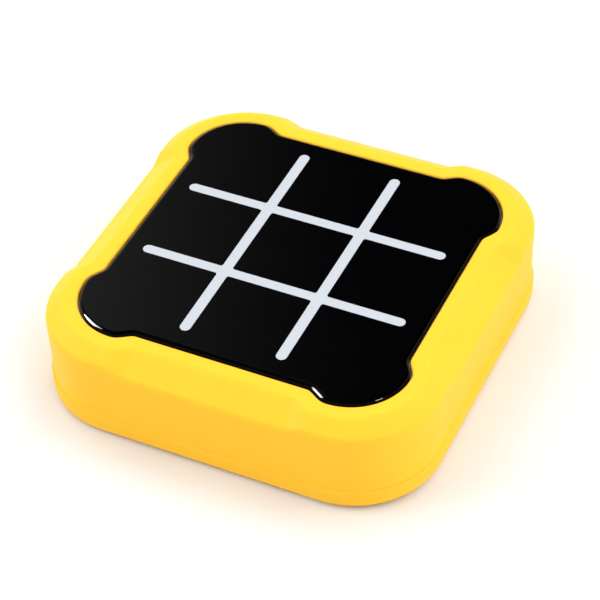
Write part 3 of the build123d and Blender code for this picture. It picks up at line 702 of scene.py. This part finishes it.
class PanelDistance:
    """How far a plan point lies outside the play panel's outline; less than nothing inside it."""

    def __init__(self):
        self.points = panel_outline()
        self.tree = KDTree(len(self.points))
        for index, point in enumerate(self.points):
            self.tree.insert((point.x, point.y, 0), index)
        self.tree.balance()

    def __call__(self, point):
        nearest, index, gap = self.tree.find((point.x, point.y, 0))
        along = self.points[(index + 1) % len(self.points)] - self.points[index - 1]
        away = point - Vector(nearest[:2])
        return math.copysign(gap, away.x * along.y - away.y * along.x)


off_panel = PanelDistance()


def ring_edge(lateral):
    """How far out the ring's outer edge runs along a side, at a distance from the side's middle."""
    side, lobe = PANEL_SIDE + RING_OUT, PANEL_LOBE + RING_OUT
    past = lateral - RING_FLANK
    if past <= 0:
        return side
    hollow_end = RING_INNER_R * math.sin(FLANK_ANGLE)
    if past < hollow_end:
        return side + RING_INNER_R - math.sqrt(RING_INNER_R ** 2 - past ** 2)
    bend = (RING_INNER_R + RING_OUTER_R) * (1 - math.cos(FLANK_ANGLE))
    straight_end = hollow_end + (lobe - side - bend) / math.tan(FLANK_ANGLE)
    if past < straight_end:
        hollow_rise = RING_INNER_R * (1 - math.cos(FLANK_ANGLE))
        return side + hollow_rise + (past - hollow_end) * math.tan(FLANK_ANGLE)
    left = straight_end + RING_OUTER_R * math.sin(FLANK_ANGLE) - past
    if left > 0:
        return lobe - RING_OUTER_R + math.sqrt(RING_OUTER_R ** 2 - left ** 2)
    return lobe


def off_ring(point):
    """How far a plan point lies past the ring's edge: straight out along a side, radially at a lobe."""
    lateral, out = sorted((abs(point.x), abs(point.y)))
    if lateral > LOBE_CENTRE:
        return math.hypot(lateral - LOBE_CENTRE, out - LOBE_CENTRE) - LOBE_R - RING_OUT
    return out - ring_edge(lateral)


def opening_point(ray, wanted):
    """Where a ray from the middle is the wanted distance outside the panel."""
    low, high = 0.9 * PANEL_SIDE, WALL_HALF * math.sqrt(2)
    for _ in range(HALVINGS):
        middle = (low + high) / 2
        low, high = (low, middle) if off_panel(ray * middle) > wanted else (middle, high)
    return ray * low


def wall_point(ray):
    """Where a ray meets the outer wall in plan, and the wall's outward direction there."""
    straight = WALL_HALF - WALL_R
    point = ray * (WALL_HALF / max(abs(ray.x), abs(ray.y)))
    if min(abs(point.x), abs(point.y)) <= straight:
        if abs(ray.x) > abs(ray.y):
            return point, Vector((math.copysign(1, ray.x), 0))
        return point, Vector((0, math.copysign(1, ray.y)))
    centre = Vector((math.copysign(straight, ray.x), math.copysign(straight, ray.y)))
    along = ray.dot(centre)
    point = ray * (along + math.sqrt(along ** 2 - centre.length_squared + WALL_R ** 2))
    return point, (point - centre) / WALL_R


def slope_drop(beyond):
    """Fall of the sloped band below the ring, past a rounded crease at the ring's edge."""
    tangent = CREASE_R * math.tan(SLOPE_ANGLE / 2)
    into = beyond + tangent
    if into <= 0:
        return 0.0
    if into < CREASE_R * math.sin(SLOPE_ANGLE):
        return CREASE_R - math.sqrt(CREASE_R ** 2 - into ** 2)
    return beyond * math.tan(SLOPE_ANGLE)


def lean(z):
    """How far the wall stands in from its widest line at a height."""
    return WALL_LEAN * (RING_Z - z) / (RING_Z - SPLIT_Z)


def surface(point):
    """Height of the ring and of the sloped band past it, over a plan point."""
    return RING_Z - slope_drop(off_ring(point))


def raised(points, heights):
    """A row of plan points, each at its own height."""
    return [Vector((point.x, point.y, z)) for point, z in zip(points, heights)]


def at_height(points, z):
    """A row of plan points, all at one height."""
    return raised(points, [z] * len(points))


def between(first, second, share):
    """The plan points part of the way from one line to another."""
    return [a.lerp(b, share) for a, b in zip(first, second)]


def opening_line(rays, offset):
    """The panel's outline, moved outward."""
    return [opening_point(ray, offset) for ray in rays]


def opening_rows(rays):
    """The side of the lobed opening and its rounded edge."""
    rows = [at_height(opening_line(rays, PANEL_GAP), RING_Z - OPENING_DEPTH)]
    for turn in spread(0, math.pi / 2, OPENING_STEPS):
        offset = PANEL_GAP + OPENING_R * (1 - math.cos(turn))
        rows.append(at_height(opening_line(rays, offset), RING_Z - OPENING_R * (1 - math.sin(turn))))
    return rows


def band_rows(start, end):
    """The ring and the sloped band, softer towards the wall, where the facets meet."""
    rows = []
    for share in spread(0, 1, BAND_STEPS) + [1.0]:
        points = between(start, end, share)
        heights = [surface(point) for point in points]
        rows.append(raised(points, soft_average(heights, VALLEY_REACH * min(1, 2 * share))))
    return rows


def band_steepness(normal, end):
    """Angle at which the sloped band falls where it ends above the wall."""
    probe = normal * SLOPE_PROBE
    return math.atan2(surface(end - probe) - surface(end + probe), 2 * probe.length)


def ridge_rows(walls, tops, steepness):
    """The round edge between the sloped band and the wall, as it turns to face outward."""
    rows = []
    for step in range(1, RIDGE_STEPS + 1):
        row = []
        for (wall, normal), top, alpha in zip(walls, tops, steepness):
            radius = RIDGE_REACH / (1 - math.sin(alpha))
            turn = (math.pi / 2 - alpha) * (1 - step / RIDGE_STEPS)
            z = top - radius * math.cos(alpha) + radius * math.sin(turn)
            inset = radius * (1 - math.cos(turn)) + RIDGE_LEAN + lean(z) - lean(top)
            point = wall - normal * inset
            row.append(Vector((point.x, point.y, z)))
        rows.append(row)
    return rows


def wall_rows(walls, shoulder):
    """The leaning wall below its round edge, and the small flare at its foot."""
    rows = []
    foot = SPLIT_Z + FOOT_FLARE_R
    for step in range(1, WALL_STEPS + 1):
        share = step / WALL_STEPS
        row = []
        for (wall, normal), top in zip(walls, shoulder):
            inset = (wall - top.xy).dot(normal)
            point = wall - normal * (inset + (lean(foot) - inset) * share)
            row.append(Vector((point.x, point.y, top.z + (foot - top.z) * share)))
        rows.append(row)
    for step in range(1, FLARE_STEPS + 1):
        turn = math.pi / 2 * step / FLARE_STEPS
        inset = WALL_LEAN - FOOT_FLARE_R * (1 - math.cos(turn))
        points = [wall - normal * inset for wall, normal in walls]
        rows.append(at_height(points, foot - FOOT_FLARE_R * math.sin(turn)))
    return rows


def inner_rows(rays, walls):
    """The inside of the shell, from the foot of the wall up and back to the opening."""
    wall_line = [wall - normal * (WALL_LEAN + WALL_THICK) for wall, normal in walls]
    tray_line = opening_line(rays, TRAY_SPACE)
    rows = [at_height(wall_line, SPLIT_Z)]
    for step in range(INNER_STEPS, -1, -1):
        points = between(tray_line, wall_line, step / INNER_STEPS)
        heights = [surface(point) - SLOPE_SKIN for point in points]
        rows.append(raised(points, soft_average(heights, VALLEY_REACH)))
    rows.append(at_height(tray_line, RING_Z - OPENING_DEPTH))
    return rows


def slot_cutter(x):
    """A rounded bar that goes through the rear wall where a button comes out."""
    outline = []
    for corner_x, corner_z, first in ((1, 1, 0), (-1, 1, 90), (-1, -1, 180), (1, -1, 270)):
        centre = Vector((corner_x * (SLOT_HALF_X - SLOT_END_R), corner_z * (SLOT_HALF_Z - SLOT_END_R)))
        for degrees in range(first, first + 91, 10):
            turn = math.radians(degrees)
            outline.append(centre + Vector((math.cos(turn), math.sin(turn))) * SLOT_END_R)
    rows = [[Vector((x + p.x, y, BUTTON_Z + p.y)) for p in outline] for y in (SLOT_FROM_Y, SLOT_TO_Y)]
    cutter = bpy.data.objects.new("slot_cutter", loop_mesh("slot_cutter", rows, capped=True))
    bpy.context.scene.collection.objects.link(cutter)
    return cutter


def top_shell():
    """The top housing with its soft creases: the opening, the sloped band, the wall and the inside."""
    rays = [Vector((math.cos(turn), math.sin(turn))) for turn in spread(0, 2 * math.pi, RAYS)]
    walls = [wall_point(ray) for ray in rays]
    ends = [wall - normal * (RIDGE_REACH + RIDGE_LEAN) for wall, normal in walls]
    steepness = [band_steepness(normal, end) for (_, normal), end in zip(walls, ends)]
    rows = opening_rows(rays) + band_rows(opening_line(rays, PANEL_GAP + OPENING_R), ends)
    tops = [point.z for point in rows[-1]]
    rows += ridge_rows(walls, tops, soft_average(steepness, VALLEY_REACH))
    rows += wall_rows(walls, rows[-1])
    rows += inner_rows(rays, walls)
    piece = new_piece("top_shell", loop_mesh("top_shell", rows), "case", "yellow_case", smooth_below=50)
    for side in (-1, 1):
        cut(piece, slot_cutter(side * BUTTON_X))
    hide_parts("top_housing")
    return piece


# ---- parts inside the case ----------------------------------------------------------------------
BOSS_R, BOSS_FOOT_R = 2.8 * MM, 0.4 * MM
BOSS_POINTS = 48
PILOT_R, PILOT_MOUTH = 1.05 * MM, 0.3 * MM
CASE_BOSS_AT, CASE_BOSS_BASE, CASE_PILOT_TOP = 40.45 * MM, 7.5 * MM, 16.0 * MM
BOARD_BOSS_AT, BOARD_PILOT_TOP = 44.6 * MM, 20.0 * MM
KEY_EDGE_R = 0.25 * MM


def boss_mesh(name, x, y, base, pilot_top):
    """A post that ends inside the sloped band, with a screw hole that opens at its rounded foot."""

    def ring(radius, z):
        turns = spread(0, 2 * math.pi, BOSS_POINTS)
        return [Vector((x + radius * math.cos(turn), y + radius * math.sin(turn), z)) for turn in turns]

    mouth = ring(PILOT_R + PILOT_MOUTH, base)
    rows = [ring(PILOT_R, pilot_top), ring(PILOT_R, base + PILOT_MOUTH), mouth]
    for degrees in (0, 30, 60, 90):
        turn = math.radians(degrees)
        radius = BOSS_R - BOSS_FOOT_R * (1 - math.sin(turn))
        rows.append(ring(radius, base + BOSS_FOOT_R * (1 - math.cos(turn))))
    top = ring(BOSS_R, 0)
    for point in top:
        point.z = surface(point.xy) - SLOPE_SKIN / 2
    return loop_mesh(name, rows + [top], capped=True)


def housing_bosses():
    """The eight posts that hang from the inside of the top housing and take the screws."""
    corners = [(x, y) for x in (-1, 1) for y in (-1, 1)]
    sides = [(1, 0), (0, 1), (-1, 0), (0, -1)]
    posts = [(x * CASE_BOSS_AT, y * CASE_BOSS_AT, CASE_BOSS_BASE, CASE_PILOT_TOP) for x, y in corners]
    posts += [(x * BOARD_BOSS_AT, y * BOARD_BOSS_AT, BOARD_TOP, BOARD_PILOT_TOP) for x, y in sides]
    for number, post in enumerate(posts, start=1):
        name = f"housing_boss_{number}"
        new_piece(name, boss_mesh(name, *post), "case", "yellow_case", smooth_below=40)


def key_mat():
    """The rubber key sheet with softened edges."""
    mesh = NODES["key_sheet"].data.copy()
    piece = new_piece("key_mat", mesh, "case", "silicone")
    soften = piece.modifiers.new("soften", "BEVEL")
    soften.width = KEY_EDGE_R
    soften.segments = 2
    soften.limit_method = "ANGLE"
    soften.angle_limit = math.radians(40)
    apply_modifiers(piece)
    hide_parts("key_sheet")
    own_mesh(piece)
    return piece


# ---- marks on the battery door ------------------------------------------------------------------
DOOR_UNDER_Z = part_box("battery_door")[0].z
MARK_ROOT, MARK_HEIGHT = 0.15 * MM, 0.3 * MM  # into the door, and proud of it
MARK_SHOULDER = 0.55  # share of the height that goes straight up
MARK_TOP_SIZE = 0.93  # the top of a mark, as a share of its foot
GRIP_RIB_FIRST_Y, GRIP_RIB_STEP = 7.4 * MM, 1.5 * MM
GRIP_RIB_COUNT, GRIP_RIB_END_POINTS = 3, 8
GRIP_RIB_HALF, GRIP_RIB_END_R = 6.0 * MM, 0.4 * MM
ARROW_Y, ARROW_HALF, ARROW_LONG = 4.6 * MM, 3.0 * MM, 3.2 * MM
ARROW_BLUNT, ARROW_TIP = 0.14, 0.05  # shares of a side that a corner's ends and its middle step back by


def low_relief(name, outline):
    """A shallow raised mark with sloped sides on the underside of the door."""
    centre = sum(outline, Vector((0, 0))) / len(outline)
    rows = []
    for size, z in ((1.0, MARK_ROOT), (1.0, -MARK_HEIGHT * MARK_SHOULDER), (MARK_TOP_SIZE, -MARK_HEIGHT)):
        points = [centre + (point - centre) * size for point in outline]
        rows.append(at_height(points, DOOR_UNDER_Z + z))
    return new_piece(name, loop_mesh(name, rows, capped=True), "door", "yellow_case", smooth_below=40)


def rib_outline(y):
    """A thin bar with round ends."""
    outline = []
    for side, first in ((1, -90), (-1, 90)):
        for turn in spread(math.radians(first), math.radians(first + 180), GRIP_RIB_END_POINTS):
            x = side * (GRIP_RIB_HALF - GRIP_RIB_END_R) + GRIP_RIB_END_R * math.cos(turn)
            outline.append(Vector((x, y + GRIP_RIB_END_R * math.sin(turn))))
    return outline


def arrow_outline():
    """A triangle with blunt corners."""
    foot_y = ARROW_Y - ARROW_LONG
    corners = [Vector((-ARROW_HALF, foot_y)), Vector((ARROW_HALF, foot_y)), Vector((0, ARROW_Y))]
    outline = []
    for index, corner in enumerate(corners):
        before, after = corners[index - 1], corners[(index + 1) % 3]
        outline.append(corner.lerp(before, ARROW_BLUNT))
        outline.append(corner.lerp((before + after) / 2, ARROW_TIP))
        outline.append(corner.lerp(after, ARROW_BLUNT))
    return outline


def door_marks():
    """Grip ribs and an arrow that shows which end of the door comes up."""
    for number in range(GRIP_RIB_COUNT):
        rib = rib_outline(GRIP_RIB_FIRST_Y + GRIP_RIB_STEP * number)
        low_relief(f"door_grip_rib_{number + 1}", rib)
    low_relief("door_arrow", arrow_outline())


# ---- the scene ----------------------------------------------------------------------------------
def paint_nodes():
    """Each CAD node gets the look of its record slot."""
    for entry in frame["record"]["subparts"]:
        node = NODES[entry["node"]]
        node.data.materials.clear()
        node.data.materials.append(LOOKS[entry["material_slot"]].material)


paint_nodes()
top_shell()
housing_bosses()
key_mat()
door_marks()
make_camera()
make_lights()
make_floor()
